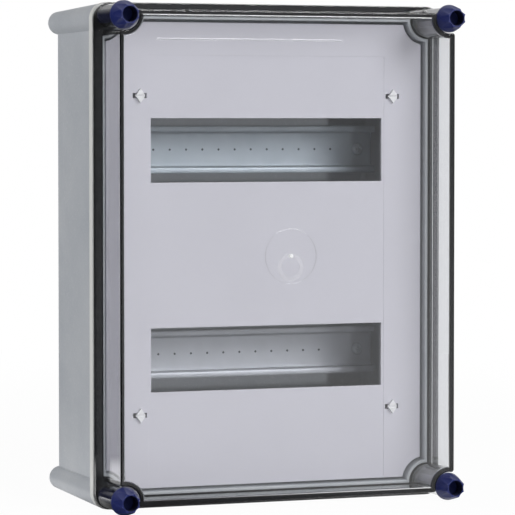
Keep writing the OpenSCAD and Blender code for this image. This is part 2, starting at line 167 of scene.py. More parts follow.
# %% Room
ROOM_LIGHT = {"left": 0.02, "right": 0.1}
CEILING_LIGHT = 0.8
RIGHT_WAY = Vector((math.cos(AZIMUTH), math.sin(AZIMUTH), 0))
SIDE_SPREAD = 0.5
CEILING_RISE = (0.1, 0.7)

world = bpy.data.worlds.new("white_surround")
bpy.context.scene.world = world
world.use_nodes = True
world.node_tree.nodes.clear()
tree = world.node_tree
way = add(tree, "ShaderNodeTexCoord").outputs["Generated"]
sideways = add(tree, "ShaderNodeVectorMath", {0: way, 1: RIGHT_WAY}, operation="DOT_PRODUCT")
dimness = add(tree, "ShaderNodeMapRange", {
    "Value": sideways.outputs["Value"], "From Min": -SIDE_SPREAD, "From Max": SIDE_SPREAD,
    "To Min": ROOM_LIGHT["left"], "To Max": ROOM_LIGHT["right"]})
upwards = add(tree, "ShaderNodeSeparateXYZ", {0: way}).outputs["Z"]
ceiling = add(tree, "ShaderNodeMapRange", {
    "Value": upwards, "From Min": CEILING_RISE[0], "From Max": CEILING_RISE[1], "To Max": CEILING_LIGHT})
lit = add(tree, "ShaderNodeMath", {0: dimness, 1: ceiling}, operation="ADD")
print("made", world.name)

# %% [markdown]
# ## Pale part of the room
# One more pale part stands in front, on the right, where the flat front of the cover mirrors it. It lays
# a faint veil over all that is inside, and more of it lower down. Its edges are cosines of the angle from
# its middle, the outer one first.

# %% Pale part of the room
FRONT_LIGHT = {"high": 0.18, "low": 0.6}
FRONT_WAY = Vector((-back.x, back.y, -back.z))
FRONT_RISE = (0.03, -0.085)
FRONT_EDGE = (math.cos(math.radians(35)), math.cos(math.radians(18)))

in_front = add(tree, "ShaderNodeVectorMath", {0: way, 1: FRONT_WAY}, operation="DOT_PRODUCT")
near = add(tree, "ShaderNodeMapRange", {
    "Value": in_front.outputs["Value"], "From Min": FRONT_EDGE[0], "From Max": FRONT_EDGE[1]},
    interpolation_type="SMOOTHSTEP")
pale = add(tree, "ShaderNodeMapRange", {
    "Value": upwards, "From Min": FRONT_RISE[0], "From Max": FRONT_RISE[1],
    "To Min": FRONT_LIGHT["high"], "To Max": FRONT_LIGHT["low"]})
front = add(tree, "ShaderNodeMath", {0: near, 1: pale, 2: lit}, operation="MULTIPLY_ADD")
print("pale part towards", [round(value, 2) for value in FRONT_WAY])

# %% [markdown]
# ## Backdrop
# The world has three looks, chosen by the kind of ray. The camera sees plain white. Matt surfaces get a
# soft, even light. Mirrored and bent rays see the room, with a white backdrop in it near the direction
# that the camera looks in.

# %% Backdrop
FILL_LIGHT = 0.18
BACKDROP_WAY = -back
BACKDROP_EDGE = (math.cos(math.radians(22)), math.cos(math.radians(13)))

soft = add(tree, "ShaderNodeBackground", {"Color": chart("#fbfaf9"), "Strength": FILL_LIGHT})
white = add(tree, "ShaderNodeBackground", {"Color": chart("#ffffff")})
room = add(tree, "ShaderNodeBackground", {"Color": chart("#ffffff"), "Strength": front})
facing = add(tree, "ShaderNodeVectorMath", {0: way, 1: BACKDROP_WAY}, operation="DOT_PRODUCT")
inside = add(tree, "ShaderNodeMapRange", {
    "Value": facing.outputs["Value"], "From Min": BACKDROP_EDGE[0], "From Max": BACKDROP_EDGE[1]},
    interpolation_type="SMOOTHSTEP")
studio = add(tree, "ShaderNodeMixShader", {0: inside, 1: room, 2: white})
add(tree, "ShaderNodeOutputWorld", {"Surface": by_ray(tree, white, soft, studio)})
print("backdrop towards", [round(value, 2) for value in BACKDROP_WAY])

# %% [markdown]
# ## Paper of the floor
# The object stands on a round sheet of white paper. To the camera it keeps a little of its real shading
# near the object, where the shadow falls, and fades to plain white at its edge.

# %% Paper of the floor
FLOOR_R = 1.4
FLOOR_GLOW = 0.97
SHADOW_REACH = 0.4

floor_finish, tree, place = new_finish("white_paper_sheet")
paint = add(tree, "ShaderNodeBsdfDiffuse", {"Color": chart("#f4f4f4")})
glow = add(tree, "ShaderNodeEmission", {"Color": chart("#ffffff")})
flat = add(tree, "ShaderNodeVectorMath", {0: place, 1: (1, 1, 0)}, operation="MULTIPLY")
radius = add(tree, "ShaderNodeVectorMath", {0: flat}, operation="LENGTH")
share = add(tree, "ShaderNodeMapRange", {
    "Value": radius.outputs["Value"], "From Min": SHADOW_REACH, "From Max": FLOOR_R, "To Min": FLOOR_GLOW},
    interpolation_type="SMOOTHSTEP")
paper = add(tree, "ShaderNodeMixShader", {0: share, 1: paint, 2: glow})
print("made", floor_finish.name)

# %% [markdown]
# ## Strips of the floor
# Matt surfaces get the light that the paper throws back. Mirrored and bent rays see it as dim as the room,
# save in two strips: one behind the object, white like the backdrop, and one in front, on the right, pale
# like the room there. Each strip starts and is full at a distance from the middle of the floor.

# %% Strips of the floor
WHITE_ASIDE = (0.34, 0.26)
WHITE_BEHIND = (-0.16, -0.06)
PALE_ASIDE = (0.5, 0.22)
PALE_AHEAD = (0.2, 0.3)
FRONT_SIDE = Vector((-back.y, -back.x, 0))

sideways = add(tree, "ShaderNodeVectorMath", {0: place, 1: RIGHT_WAY}, operation="DOT_PRODUCT")
dimness = add(tree, "ShaderNodeMapRange", {
    "Value": sideways.outputs["Value"], "From Min": -WHITE_ASIDE[0], "From Max": WHITE_ASIDE[0],
    "To Min": ROOM_LIGHT["left"], "To Max": ROOM_LIGHT["right"]})
ahead = add(tree, "ShaderNodeVectorMath", {0: place, 1: FRONT_WAY}, operation="DOT_PRODUCT")
pale = add(tree, "ShaderNodeMapRange", {
    "Value": ahead.outputs["Value"], "From Min": PALE_AHEAD[0], "From Max": PALE_AHEAD[1],
    "To Max": FRONT_LIGHT["low"]})
off_line = add(tree, "ShaderNodeVectorMath", {0: place, 1: FRONT_SIDE}, operation="DOT_PRODUCT")
apart = add(tree, "ShaderNodeMath", {0: off_line.outputs["Value"]}, operation="ABSOLUTE")
strip = add(tree, "ShaderNodeMapRange", {
    "Value": apart, "From Min": PALE_ASIDE[0], "From Max": PALE_ASIDE[1]}, interpolation_type="SMOOTHSTEP")
lit = add(tree, "ShaderNodeMath", {0: pale, 1: strip, 2: dimness}, operation="MULTIPLY_ADD")
dim = add(tree, "ShaderNodeEmission", {"Color": chart("#ffffff"), "Strength": lit})
aside = add(tree, "ShaderNodeMath", {0: sideways.outputs["Value"]}, operation="ABSOLUTE")
in_line = add(tree, "ShaderNodeMapRange", {
    "Value": aside, "From Min": WHITE_ASIDE[0], "From Max": WHITE_ASIDE[1]},
    interpolation_type="SMOOTHSTEP")
onward = add(tree, "ShaderNodeVectorMath", {0: place, 1: BACKDROP_WAY}, operation="DOT_PRODUCT")
beyond = add(tree, "ShaderNodeMapRange", {
    "Value": onward.outputs["Value"], "From Min": WHITE_BEHIND[0], "From Max": WHITE_BEHIND[1]},
    interpolation_type="SMOOTHSTEP")
behind = add(tree, "ShaderNodeMath", {0: in_line, 1: beyond}, operation="MULTIPLY")
mirrored = add(tree, "ShaderNodeMixShader", {0: behind, 1: dim, 2: paper})
add(tree, "ShaderNodeOutputMaterial", {"Surface": by_ray(tree, paper, paint, mirrored)})
print("strips are", 2 * WHITE_ASIDE[0], "and", 2 * PALE_ASIDE[0], "metres wide")

# %% [markdown]
# ## Floor
# A round flat sheet is one face with many corners. It lies at the foot of the solids.

# %% Floor
FLOOR_STEPS = 64

floor_z = cad_box[0][2]
turns = [2 * math.pi * i / FLOOR_STEPS for i in range(FLOOR_STEPS)]
floor_mesh = bpy.data.meshes.new("studio_floor")
floor_mesh.from_pydata(
    [(FLOOR_R * math.cos(a), FLOOR_R * math.sin(a), floor_z) for a in turns], [], [range(FLOOR_STEPS)])
floor_mesh.materials.append(floor_finish)
studio_floor = link("studio_floor", floor_mesh)
print("floor at", round(floor_z, 3))

# %% [markdown]
# ## Lamps
# Most of the light is a large soft box high on the right. The camera is as far to the left, so every
# ridge that faces a little upwards mirrors that box as a white line. The cut-outs show a crisp shadow edge
# on the back wall, straight behind the plate, so a small lamp stands in front of the case too. A second
# soft box at the left, a little behind the cover, lifts only the outer wall. The small lamp and the left
# box are hidden from mirrored and bent rays, or the clear edges would show them as streaks. A lamp's power
# is worked out from the brightness it should give on a white surface that faces it: that is
# power / (pi * distance) ** 2 for a small square lamp.

# %% Lamps
LAMPS = {
    # name: (place in metres, side in metres, brightness on a white surface that faces it, mirrored)
    "key_front": ((0.08, -3.0, 0.08), 0.12, 0.18, False),
    "soft_right": ((1.05, -2.4, 1.4), 1.5, 0.64, True),
    "soft_left": ((-2.4, 0.2, 0.5), 1.4, 0.42, False),
}
LAMP_TARGET = Vector((0, -0.08, 0))

for name, (place, side, brightness, mirrored) in LAMPS.items():
    lamp_data = bpy.data.lights.new(name, "AREA")
    lamp_data.size = side
    reach = Vector(place) - LAMP_TARGET
    lamp_data.energy = brightness * (math.pi * reach.length) ** 2
    lamp = link(name, lamp_data)
    lamp.location = place
    lamp.rotation_euler = reach.to_track_quat("Z", "Y").to_euler()
    lamp.visible_glossy = mirrored
    lamp.visible_transmission = mirrored
    print(name, "power in watts:", round(lamp_data.energy, 1))

# %% [markdown]
# ## Glass-fibre polyester, hot pressed: the base
# The base is pressed from a grey dough of polyester and chopped glass. The press leaves a satin skin
# with faint clouds where the dough flowed, tiny pale fibre ends, and soft edges that catch the light.
# A Bevel node rounds the shading at every edge without touching the solid. The side of the rim has a
# painted highlight, a paler band for the light its rounded edge catches, found by its place on the base.

# %% Glass-fibre polyester
RIM_BAND = (102, 109)
RIM_HIGHLIGHT_INSET = 5
RIM_INSIDE = (CASE_W / 2 - RIM_HIGHLIGHT_INSET, CASE_H / 2 - RIM_HIGHLIGHT_INSET)

glass_polyester, tree, place = new_finish("glass_fibre_polyester_pressed")
clouds = add(tree, "ShaderNodeTexNoise", {"Vector": place, "Scale": per_mm(45), "Detail": 4.0})
fibres = add(tree, "ShaderNodeTexNoise", {"Vector": place, "Scale": per_mm(1.6), "Detail": 2.0})
grey = add(tree, "ShaderNodeMix", {
    "Factor": clouds, 6: chart("#b2b8c0"), 7: chart("#cfd2d6")}, data_type="RGBA")
ends = add(tree, "ShaderNodeMapRange", {
    "Value": fibres, "From Min": 0.55, "From Max": 0.75, "To Max": 0.35})
flecked = add(tree, "ShaderNodeMix", {
    "Factor": ends, 6: grey.outputs[2], 7: chart("#dfe0e3")}, data_type="RGBA")
depth = add(tree, "ShaderNodeSeparateXYZ", {0: place}).outputs["Y"]
band = add(tree, "ShaderNodeMath", {
    0: depth, 1: -sum(RIM_BAND) / 2 * MM, 2: (RIM_BAND[1] - RIM_BAND[0]) / 2 * MM}, operation="COMPARE")
folded = add(tree, "ShaderNodeVectorMath", {0: place}, operation="ABSOLUTE")
beyond = add(tree, "ShaderNodeVectorMath", {
    0: folded, 1: (RIM_INSIDE[0] * MM, 0, RIM_INSIDE[1] * MM)}, operation="SUBTRACT")
sides = add(tree, "ShaderNodeSeparateXYZ", {0: beyond}).outputs
outer = add(tree, "ShaderNodeMath", {0: sides["X"], 1: sides["Z"]}, operation="MAXIMUM")
outside = add(tree, "ShaderNodeMath", {0: outer, 1: 0.0}, operation="GREATER_THAN")
# Painted highlight: the side of the rim is painted paler where its rounded edge would catch the light.
painted_rim_highlight = add(tree, "ShaderNodeMath", {0: band, 1: outside}, operation="MULTIPLY")
colour = add(tree, "ShaderNodeMix", {
    "Factor": painted_rim_highlight, 6: flecked.outputs[2], 7: chart("#e9eae8")}, data_type="RGBA")
skin = add(tree, "ShaderNodeTexNoise", {"Vector": place, "Scale": per_mm(5), "Detail": 3.0})
gloss = add(tree, "ShaderNodeMapRange", {"Value": skin, "To Min": 0.36, "To Max": 0.52})
edges = add(tree, "ShaderNodeBevel", {"Radius": 1.2 * MM}, samples=4)
ripple = add(tree, "ShaderNodeBump", {
    "Height": skin, "Normal": edges, "Strength": 0.12, "Distance": 0.3 * MM})
body = add(tree, "ShaderNodeBsdfPrincipled", {
    "Base Color": colour.outputs[2], "Roughness": gloss, "IOR": 1.54, "Normal": ripple})
add(tree, "ShaderNodeOutputMaterial", {"Surface": body})
print("made", glass_polyester.name)

# %% [markdown]
# ## Polycarbonate, injection moulded: the clear cover
# Moulded polycarbonate bends light strongly (its index is about 1.585), mirrors its surroundings at
# a slant, and is very slightly grey, which shows only where the eye looks a long way through it, as
# along the walls. Its colour also darkens the more slantwise it is seen, so what is seen through it at
# a slant is dimmer. At the gate, where the plastic came in, the torn stub is white, and a ring around
# the dish below it is faintly cloudy.

# %% Clear polycarbonate
SLANT_RANGE = (0.3, 1.0)
GATE_STUB_R = 1.5
DISH_DROP = 8
DISH_EDGE = (7, 10)
STUB_WHITE = 0.8
DISH_WHITE = 0.07

clear_polycarbonate, tree, place = new_finish("clear_polycarbonate_moulded")
flow = add(tree, "ShaderNodeTexNoise", {"Vector": place, "Scale": per_mm(30), "Detail": 1.0})
waves = add(tree, "ShaderNodeBump", {"Height": flow, "Strength": 0.04, "Distance": 0.3 * MM})
haze = add(tree, "ShaderNodeMapRange", {"Value": flow, "To Min": 0.0, "To Max": 0.03})
slant = add(tree, "ShaderNodeLayerWeight", {"Blend": 0.5}).outputs["Facing"]
# Darker the more slantwise the plastic is seen.
slant_dimming = add(tree, "ShaderNodeMapRange", {
    "Value": slant, "From Min": SLANT_RANGE[0], "From Max": SLANT_RANGE[1]})
slant_dimmed = add(tree, "ShaderNodeMix", {
    "Factor": slant_dimming, 6: chart("#fbfcfd"), 7: chart("#b0b1b4")}, data_type="RGBA")
clear = add(tree, "ShaderNodeBsdfPrincipled", {
    "Base Color": slant_dimmed.outputs[2], "Roughness": haze, "IOR": 1.585, "Transmission Weight": 1.0,
    "Normal": waves})
flat = add(tree, "ShaderNodeVectorMath", {0: place, 1: (1, 0, 1)}, operation="MULTIPLY")
from_gate = add(tree, "ShaderNodeVectorMath", {0: flat}, operation="LENGTH")
from_dish = add(tree, "ShaderNodeVectorMath", {0: flat, 1: (0, 0, -DISH_DROP * MM)}, operation="DISTANCE")
stub = add(tree, "ShaderNodeMath", {
    0: from_gate.outputs["Value"], 1: GATE_STUB_R * MM}, operation="LESS_THAN")
rim = add(tree, "ShaderNodeMath", {
    0: from_dish.outputs["Value"], 1: sum(DISH_EDGE) / 2 * MM, 2: (DISH_EDGE[1] - DISH_EDGE[0]) / 2 * MM},
    operation="COMPARE")
cloudy_rim = add(tree, "ShaderNodeMath", {0: rim, 1: DISH_WHITE}, operation="MULTIPLY")
whitened = add(tree, "ShaderNodeMath", {0: stub, 1: STUB_WHITE, 2: cloudy_rim}, operation="MULTIPLY_ADD")
torn = add(tree, "ShaderNodeBsdfPrincipled", {"Base Color": chart("#f2f3f5"), "Roughness": 0.6})
gated = add(tree, "ShaderNodeMixShader", {0: whitened, 1: clear, 2: torn})
print("made", clear_polycarbonate.name)

# %% [markdown]
# ## Light through the clear cover
# Lamps and the soft light between matt surfaces pass straight through, because a renderer finds few of
# the bent paths they would take. They lose more the flatter they strike the plastic, as they would to
# its mirror image. The grey of a long way through it is an absorption inside the solid.

# %% Light through the clear cover
passed = add(tree, "ShaderNodeMapRange", {
    "Value": slant, "From Min": SLANT_RANGE[0], "From Max": SLANT_RANGE[1], "To Min": 0.95, "To Max": 0.4})
through = add(tree, "ShaderNodeBsdfTransparent", {"Color": passed})
path = add(tree, "ShaderNodeLightPath")
straight = add(tree, "ShaderNodeMath", {
    0: path.outputs["Is Shadow Ray"], 1: path.outputs["Is Diffuse Ray"]}, operation="MAXIMUM")
pane = add(tree, "ShaderNodeMixShader", {0: straight, 1: gated, 2: through})
tint = add(tree, "ShaderNodeVolumeAbsorption", {"Color": chart("#d9dadd"), "Density": 9.0})
add(tree, "ShaderNodeOutputMaterial", {"Surface": pane, "Volume": tint})
print("nodes in", clear_polycarbonate.name, len(tree.nodes))

# %% [markdown]
# ## Rigid plastic sheet, fine grain: the front plate
# The inner plate is a pale lavender grey sheet with a fine matt grain, so it shows no mirror image,
# only a broad soft sheen.

# %% Grey plastic sheet
grey_sheet, tree, place = new_finish("grey_plastic_sheet_grained")
clouds = add(tree, "ShaderNodeTexNoise", {"Vector": place, "Scale": per_mm(60), "Detail": 2.0})
tone = add(tree, "ShaderNodeMix", {
    "Factor": clouds, 6: chart("#cdccd6"), 7: chart("#d3d2dc")}, data_type="RGBA")
grain = add(tree, "ShaderNodeTexNoise", {"Vector": place, "Scale": per_mm(0.9), "Detail": 2.0})
dull = add(tree, "ShaderNodeMapRange", {"Value": grain, "To Min": 0.45, "To Max": 0.6})
edges = add(tree, "ShaderNodeBevel", {"Radius": 0.15 * MM}, samples=4)
relief = add(tree, "ShaderNodeBump", {
    "Height": grain, "Normal": edges, "Strength": 0.08, "Distance": 0.1 * MM})
body = add(tree, "ShaderNodeBsdfPrincipled", {
    "Base Color": tone.outputs[2], "Roughness": dull, "IOR": 1.5, "Normal": relief})
add(tree, "ShaderNodeOutputMaterial", {"Surface": body})
print("made", grey_sheet.name)

# %% [markdown]
# ## Polyamide, injection moulded: cover screws, fasteners, posts and stand-offs
# Polyamide comes out of the mould satin, here dyed blue or in its natural white. The ridges get a
# painted highlight, paler than the valleys. The painted places are where the rounded normal of a Bevel
# node leaves the true normal, so the painted highlight follows every edge by itself. The socket in each
# blue grip gets painted shade, dark for its deep hollow, and is found by its distance from the screw's
# axis.

# %% Polyamides
POLYAMIDES = {
    # name: (deep colour, colour of the painted edge highlight, colour of the painted shade in the socket,
    # edge radius in millimetres)
    "blue_polyamide_moulded": ("#1f2862", "#8a90b8", "#161b3e", 0.4),
    "natural_polyamide_moulded": ("#f0f0f3", "#ffffff", "#f0f0f3", 0.4),
}
SCREW_INSET = 10
SCREW_X = CASE_W / 2 - SCREW_INSET
SCREW_Y = CASE_H / 2 - SCREW_INSET
SOCKET_R = 5.6
polyamide = {}
for name, (deep, edge_highlight_colour, socket_shade_colour, edge_radius) in POLYAMIDES.items():
    finish, tree, place = new_finish(name)
    edges = add(tree, "ShaderNodeBevel", {"Radius": edge_radius * MM}, samples=8)
    true = add(tree, "ShaderNodeNewGeometry")
    agree = add(tree, "ShaderNodeVectorMath", {
        0: edges, 1: true.outputs["Normal"]}, operation="DOT_PRODUCT")
    # Painted highlight: the ridges are painted paler where the Bevel normal leaves the true normal.
    edge_highlight = add(tree, "ShaderNodeMapRange", {
        "Value": agree.outputs["Value"], "From Min": 0.99, "From Max": 0.80, "To Max": 0.8})
    skin = add(tree, "ShaderNodeTexNoise", {"Vector": place, "Scale": per_mm(1.5), "Detail": 2.0})
    patchy_edge_highlight = add(tree, "ShaderNodeMath", {0: edge_highlight, 1: skin}, operation="MULTIPLY")
    colour = add(tree, "ShaderNodeMix", {
        "Factor": patchy_edge_highlight, 6: chart(deep), 7: chart(edge_highlight_colour)}, data_type="RGBA")
    folded = add(tree, "ShaderNodeVectorMath", {0: place}, operation="ABSOLUTE")
    away = add(tree, "ShaderNodeVectorMath", {
        0: folded, 1: (SCREW_X * MM, 0, SCREW_Y * MM)}, operation="SUBTRACT")
    spoke = add(tree, "ShaderNodeVectorMath", {0: away, 1: (1, 0, 1)}, operation="MULTIPLY")
    reach = add(tree, "ShaderNodeVectorMath", {0: spoke}, operation="LENGTH")
    hollow = add(tree, "ShaderNodeMath", {
        0: reach.outputs["Value"], 1: SOCKET_R * MM}, operation="LESS_THAN")
    # Painted shade: the socket is painted dark for the shade in its deep hollow.
    socket_shaded = add(tree, "ShaderNodeMix", {
        "Factor": hollow, 6: colour.outputs[2], 7: chart(socket_shade_colour)}, data_type="RGBA")
    satin = add(tree, "ShaderNodeMapRange", {"Value": skin, "To Min": 0.32, "To Max": 0.48})
    matt = add(tree, "ShaderNodeMath", {0: satin, 1: hollow}, operation="MAXIMUM")
    body = add(tree, "ShaderNodeBsdfPrincipled", {
        "Base Color": socket_shaded.outputs[2], "Roughness": matt, "IOR": 1.53,
        "Specular IOR Level": 0.3, "Normal": edges})
    add(tree, "ShaderNodeOutputMaterial", {"Surface": body})
    polyamide[name] = finish
    print("made", name)

# %% [markdown]
# ## Rubber, cut from sheet and moulded: the seal and the washers
# Black rubber is dull and not quite black, with a dusty bloom in patches.

# %% Black rubber
black_rubber, tree, place = new_finish("black_rubber_moulded")
bloom = add(tree, "ShaderNodeTexNoise", {"Vector": place, "Scale": per_mm(8), "Detail": 5.0})
colour = add(tree, "ShaderNodeMix", {
    "Factor": bloom, 6: chart("#1a1b1d"), 7: chart("#2b2c2f")}, data_type="RGBA")
body = add(tree, "ShaderNodeBsdfPrincipled", {
    "Base Color": colour.outputs[2], "Roughness": 0.7, "IOR": 1.52, "Specular IOR Level": 0.2})
add(tree, "ShaderNodeOutputMaterial", {"Surface": body})
print("made", black_rubber.name)

# %% [markdown]
# ## Zinc-plated steel: rails, rail screws and studs
# Rolled strip keeps fine lines along its length, and the zinc over them is blotched where hands touched
# it. Noise that is stretched along the rail gives the lines, and a second, rounder noise the blotches.
# The two rails come from two batches, one bluish and one greyish, and the greyish strip is also painted
# paler, painted light for the stronger light on the lower rail. Zinc gets a thin clear passivation, which
# is a coat with a sharper gloss of its own, and strip is rolled to round edges, which a Bevel node shades.
# Turned screws get the same zinc without the long lines, painted paler still as a painted highlight for
# the glint on their heads.

# %% Zinc-plated steel
ZINCS = {
    # name: (grain along, up and out in millimetres, darker colour, paler colour, edge radius)
    "zinc_plated_strip_bluish": ((60, 0.5, 0.5), "#a2adb8", "#c0c9d1", 2.4),
    # Painted light: the greyish strip is paler than the bluish one for the stronger light on the lower
    # rail.
    "zinc_plated_strip_greyish": ((60, 0.5, 0.5), "#bbbfc7", "#d1d4dc", 2.4),
    # Painted highlight: turned zinc is painted paler for the glint on the screw heads.
    "zinc_plated_steel_turned": ((1.5, 1.5, 0.4), "#c4ccd4", "#dfe5ea", 0.3),
}
zinc = {}
for name, (grain_size, darker, paler, edge_radius) in ZINCS.items():
    finish, tree, place = new_finish(name)
    along, up, out = [per_mm(size) for size in grain_size]
    stretched = add(tree, "ShaderNodeMapping", {"Vector": place, "Scale": (along, out, up)})
    lines = add(tree, "ShaderNodeTexNoise", {"Vector": stretched, "Scale": 1.0, "Detail": 3.0})
    blotches = add(tree, "ShaderNodeTexNoise", {"Vector": place, "Scale": per_mm(14), "Detail": 2.0})
    colour = add(tree, "ShaderNodeMix", {
        "Factor": blotches, 6: chart(darker), 7: chart(paler)}, data_type="RGBA")
    mixed = add(tree, "ShaderNodeMath", {0: lines, 1: blotches}, operation="ADD")
    polish = add(tree, "ShaderNodeMapRange", {
        "Value": mixed, "From Min": 0.6, "From Max": 1.4, "To Min": 0.42, "To Max": 0.6})
    edges = add(tree, "ShaderNodeBevel", {"Radius": edge_radius * MM}, samples=8)
    drawn = add(tree, "ShaderNodeBump", {
        "Height": lines, "Normal": edges, "Strength": 0.1, "Distance": 0.05 * MM})
    body = add(tree, "ShaderNodeBsdfPrincipled", {
        "Base Color": colour.outputs[2], "Metallic": 0.6, "Roughness": polish,
        "Coat Weight": 1.0, "Coat Roughness": 0.12, "Normal": drawn})
    add(tree, "ShaderNodeOutputMaterial", {"Surface": body})
    zinc[name] = finish
    print("made", name)

# %% [markdown]
# ## Brass, turned: the threaded inserts
# The inserts are turned from brass bar, so fine rings run round each one. The rings are a wave along
# the axis, drawn as coarse as they need to be to show.

# %% Brass
turned_brass, tree, place = new_finish("brass_turned")
rings = add(tree, "ShaderNodeTexWave", {"Vector": place, "Scale": per_mm(8), "Distortion": 0.4},
            bands_direction="Y")
colour = add(tree, "ShaderNodeMix", {
    "Factor": rings.outputs["Fac"], 6: chart("#a8873f"), 7: chart("#c9a95c")}, data_type="RGBA")
body = add(tree, "ShaderNodeBsdfPrincipled", {
    "Base Color": colour.outputs[2], "Metallic": 1.0, "Roughness": 0.3})
add(tree, "ShaderNodeOutputMaterial", {"Surface": body})
print("made", turned_brass.name)

# %% [markdown]
# ## Finishes on the solids
# The solids that keep their shape get their finish here. A solid's name starts with the name of its
# kind, so one short list is enough.

# %% Finishes on the solids
natural = polyamide["natural_polyamide_moulded"]
turned_zinc = zinc["zinc_plated_steel_turned"]
FINISHES = {
    "base_tub": glass_polyester,
    "cover_seal": black_rubber,
    "screw_washer": black_rubber,
    "front_plate": grey_sheet,
    "cover_screw": polyamide["blue_polyamide_moulded"],
    "plate_fastener": natural,
    "plate_post": natural,
    "rail_standoff": natural,
    "rail_upper": zinc["zinc_plated_strip_bluish"],
    "rail_lower": zinc["zinc_plated_strip_greyish"],
    "rail_screw": turned_zinc,
    "screw_stud": turned_zinc,
    "column_insert": turned_brass,
    "cover": clear_polycarbonate,
}
for name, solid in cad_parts.items():
    kind = max((k for k in FINISHES if name.startswith(k)), key=len)
    solid.data.materials.clear()
    solid.data.materials.append(FINISHES[kind])
print("finishes on", len(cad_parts), "solids")

# %% [markdown]
# ## Helpers for pieces
# Points are given as on a drawing of the front: across, up, and out of the wall. In the frame the wall
# is behind the object, so out of the wall is -Y. A rounded piece is a row of rings that are joined by
# faces, and a turned piece is the same with round rings.

# %% Helpers for pieces
TURN_STEPS = 48


def at(across, up, out):
    return Vector((across, -out, up)) * MM


def join_rings(shape, rings, closed=False):
    """Joins rings with equally many points; the ends are capped, or the last ring meets the first."""
    corners = [[shape.verts.new(point) for point in ring] for ring in rings]
    pairs = list(zip(corners, corners[1:]))
    if closed:
        pairs.append((corners[-1], corners[0]))
    else:
        shape.faces.new(corners[0])
        shape.faces.new(corners[-1])
    for lower, upper in pairs:
        for i in range(len(lower)):
            shape.faces.new((lower[i - 1], lower[i], upper[i], upper[i - 1]))


def turned_rings(profile, across, up):
    """Round rings from a profile of radius and height out of the wall."""
    angles = [2 * math.pi * i / TURN_STEPS for i in range(TURN_STEPS)]
    return [[at(across + r * math.cos(a), up + r * math.sin(a), out) for a in angles] for r, out in profile]


def shape_object(name, shape):
    bmesh.ops.recalc_face_normals(shape, faces=shape.faces)
    mesh = bpy.data.meshes.new(name)
    shape.to_mesh(mesh)
    shape.free()
    return link(name, mesh)


print("helpers for pieces are ready")

# %% [markdown]
# ## The clear cover
# Clear plastic shows every edge as a bright or a dark line, so the knife edges of a solid look wrong
# on it: a moulded cover is rounded everywhere. Its outline follows a rule, straight sides with a hollow
# arc about each screw and a round nose where the two meet, so one function draws it at any inset. A
# nose loses as much radius as the outline moves in.

# %% Outlines of the cover
SETBACK = 5.7
NOTCH_R = 10.15
NOSE_R = 2.4
NOSE_LEAST = 0.3
RIM_R = 12
FLANGE_GAP = 0.5
ARC_STEPS = 20
EDGE_STEPS = 8
CORNER_STEPS = ARC_STEPS + 2 * EDGE_STEPS


def spread(first, last, steps):
    return [first + (last - first) * i / steps for i in range(steps + 1)]


def arc(middle, radius, first, last, steps):
    return [(middle[0] + radius * math.cos(a), middle[1] + radius * math.sin(a))
            for a in spread(first, last, steps)]


def around_corners(corner, middle_x, middle_y):
    """Mirrors the points of the upper right corner into an outline of all four corners."""
    outline = []
    for sx, sy in ((1, 1), (-1, 1), (-1, -1), (1, -1)):
        points = [(sx * (middle_x + u), sy * (middle_y + v)) for u, v in corner]
        outline += points if sx * sy > 0 else points[::-1]
    return outline


def hood_outline(inset):
    nose = max(NOSE_R - inset, NOSE_LEAST)
    notch = NOTCH_R + inset
    reach = notch + nose
    side = CASE_W / 2 - SETBACK - inset - nose - SCREW_X
    top = CASE_H / 2 - SETBACK - inset - nose - SCREW_Y
    first = -math.acos(side / reach)
    last = -math.pi - math.asin(top / reach)
    corner = arc((side, reach * math.sin(first)), nose, 0, first + math.pi, EDGE_STEPS)
    corner += arc((0, 0), notch, first, last, ARC_STEPS)[1:-1]
    corner += arc((reach * math.cos(last), top), nose, last + math.pi, math.pi / 2, EDGE_STEPS)
    return around_corners(corner, SCREW_X, SCREW_Y)


def flange_outline(inset):
    corner = arc((0, 0), RIM_R - FLANGE_GAP - inset, 0, math.pi / 2, CORNER_STEPS)
    return around_corners(corner, CASE_W / 2 - RIM_R, CASE_H / 2 - RIM_R)


print("points in one outline of the cover:", len(hood_outline(0)))

# %% [markdown]
# ## Shell of the cover
# A moulded shell is one closed skin, so it is made as one row of rings. Each level names an outline, how
# far it is set in and its height. The rings run from the inside of the front, down the inner wall, round
# the flange and up the outer wall to the front again. All have equally many points, so plain faces join
# them and the rounded edges stay even. The foot is pressed a hair into the soft seal, because a gap there
# would mirror the light like silver.

# %% Shell of the cover
SEAL_TOP = 110
SQUEEZE = 0.03
COVER_FOOT = SEAL_TOP - SQUEEZE
COVER_FRONT = 150
COVER_DEPTH = COVER_FRONT - COVER_FOOT
COVER_T = 3
DRAFT = math.tan(math.radians(0.8))
EDGE_R = 1.1
FLANGE_T = 4
FLANGE_EDGE_R = 0.6
FILLET_R = 1.0


def rounded_front(foot_inset, depth):
    """Insets and heights of the rings that round a skin's front edge, from the wall to the face."""
    rings = []
    for a in spread(0, math.pi / 2, EDGE_STEPS):
        inset = foot_inset + (depth - EDGE_R) * DRAFT + EDGE_R * (1 - math.cos(a))
        rings.append((inset, COVER_FOOT + depth - EDGE_R + EDGE_R * math.sin(a)))
    return rings


